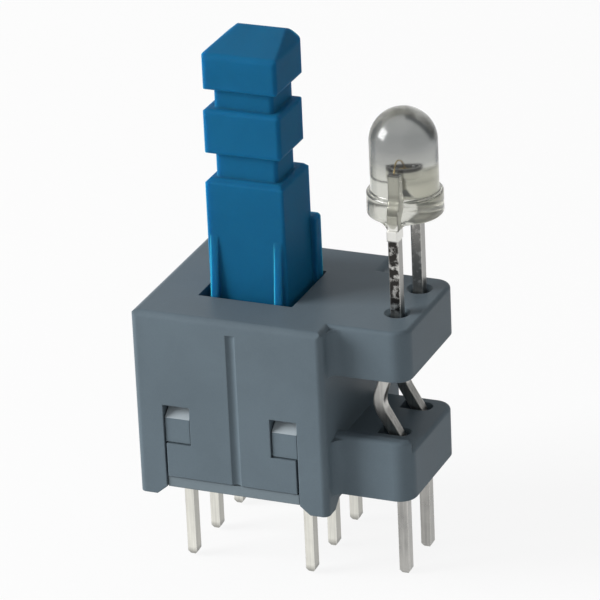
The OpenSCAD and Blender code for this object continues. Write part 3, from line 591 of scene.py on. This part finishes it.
def white_to_view(tree):
    """One for camera, glossy and transmission rays, and zero for the rest."""
    path = add(tree, "ShaderNodeLightPath")
    seen = maths(tree, "MAXIMUM", path.outputs["Is Camera Ray"], path.outputs["Is Glossy Ray"])
    return maths(tree, "MAXIMUM", seen, path.outputs["Is Transmission Ray"])


def stage_sheet(name, corners, material):
    """A flat four-cornered sheet of the stage."""
    data = bpy.data.meshes.new(name)
    data.from_pydata(corners, [], [(0, 1, 2, 3)])
    data.materials.append(material)
    sheet = bpy.data.objects.new(name, data)
    bpy.context.scene.collection.objects.link(sheet)
    return sheet


def pale_floor():
    """Matt floor that shows nearly white and keeps the object's shadow."""
    material, tree, shader = new_material("pale_sweep")
    tree.nodes.remove(shader)
    paper = add(tree, "ShaderNodeBsdfDiffuse", {"Color": FLOOR_PAPER})
    glow = add(tree, "ShaderNodeEmission", {"Color": WHITE, "Strength": 1.0})
    share = maths(tree, "MULTIPLY", white_to_view(tree), FLOOR_GLOW)
    mix = add(tree, "ShaderNodeMixShader", {
        "Fac": share, 1: paper.outputs["BSDF"], 2: glow.outputs["Emission"],
    })
    tree.links.new(mix.outputs["Shader"], tree.nodes["Material Output"].inputs["Surface"])
    z = FLOOR_Z * MM - FLOOR_DROP
    floor = stage_sheet("pale_floor", [
        (-FLOOR_HALF, -FLOOR_HALF, z), (FLOOR_HALF, -FLOOR_HALF, z),
        (FLOOR_HALF, FLOOR_HALF, z), (-FLOOR_HALF, FLOOR_HALF, z),
    ], material)


def white_world():
    """Even light from all round, with a white backdrop."""
    world = bpy.data.worlds.new("white_room")
    bpy.context.scene.world = world
    world.use_nodes = True
    tree = world.node_tree
    backdrop = add(tree, "ShaderNodeBackground", {"Color": WHITE, "Strength": 1.0})
    ambient = tree.nodes["Background"]
    ambient.inputs["Color"].default_value = WHITE
    ambient.inputs["Strength"].default_value = AMBIENT
    mix = add(tree, "ShaderNodeMixShader", {
        "Fac": white_to_view(tree), 1: ambient.outputs["Background"], 2: backdrop.outputs["Background"],
    })
    tree.links.new(mix.outputs["Shader"], tree.nodes["World Output"].inputs["Surface"])


def soft_box(name, place, target, size, watts):
    """A square soft light, turned to its target."""
    data = bpy.data.lights.new(name, "AREA")
    data.shape = "SQUARE"
    data.size = size
    data.energy = watts
    lamp = bpy.data.objects.new(name, data)
    bpy.context.scene.collection.objects.link(lamp)
    lamp.location = place
    lamp.rotation_mode = "QUATERNION"
    lamp.rotation_quaternion = (Vector(target) - Vector(place)).to_track_quat("-Z", "Y")


def gray_card():
    """Upright card on the right that keeps that side in shade and that no camera sees."""
    material, _, shader = new_material("card_gray")
    shader.inputs["Base Color"].default_value = CARD_GRAY
    shader.inputs["Roughness"].default_value = 1.0
    card = stage_sheet("gray_card", [
        (CARD_X, -CARD_HALF, CARD_LOW), (CARD_X, CARD_HALF, CARD_LOW),
        (CARD_X, CARD_HALF, CARD_HIGH), (CARD_X, -CARD_HALF, CARD_HIGH),
    ], material)
    card.visible_camera = False


def photo_camera():
    """Long lens at the photograph's angle, aimed so that the picture's middle is on its axis."""
    azimuth, elevation, roll = (math.radians(a) for a in (23.633, 23.902, -2.73))
    centre, distance = Vector((0.5, 0.0, 8.0)), 185.116
    focal_px, frame_px = 4449.9, 600.0
    offset_px = (24.581, -10.008)
    back = Vector((
        math.sin(azimuth) * math.cos(elevation),
        -math.cos(azimuth) * math.cos(elevation),
        math.sin(elevation),
    ))
    level = Vector((math.cos(azimuth), math.sin(azimuth), 0.0))
    up = back.cross(level)
    right = level * math.cos(roll) + up * math.sin(roll)
    up = up * math.cos(roll) - level * math.sin(roll)
    ahead = (right * offset_px[0] + up * offset_px[1] - back * focal_px).normalized()
    right = (right - ahead * right.dot(ahead)).normalized()
    up = right.cross(ahead)
    data = bpy.data.cameras.new("photo_camera")
    data.sensor_width = 36.0
    data.lens = focal_px / frame_px * data.sensor_width
    data.clip_start, data.clip_end = 0.02, 10.0
    camera = bpy.data.objects.new("photo_camera", data)
    bpy.context.scene.collection.objects.link(camera)
    turn = Matrix((right, up, -ahead)).transposed().to_4x4()
    camera.matrix_world = Matrix.Translation((centre + back * distance) * MM) @ turn
    bpy.context.scene.camera = camera


bpy.context.scene.view_settings.view_transform = "Standard"
pale_floor()
white_world()
gray_card()
soft_box("key_box", KEY_PLACE, KEY_TARGET, KEY_SIZE, KEY_WATTS)
photo_camera()
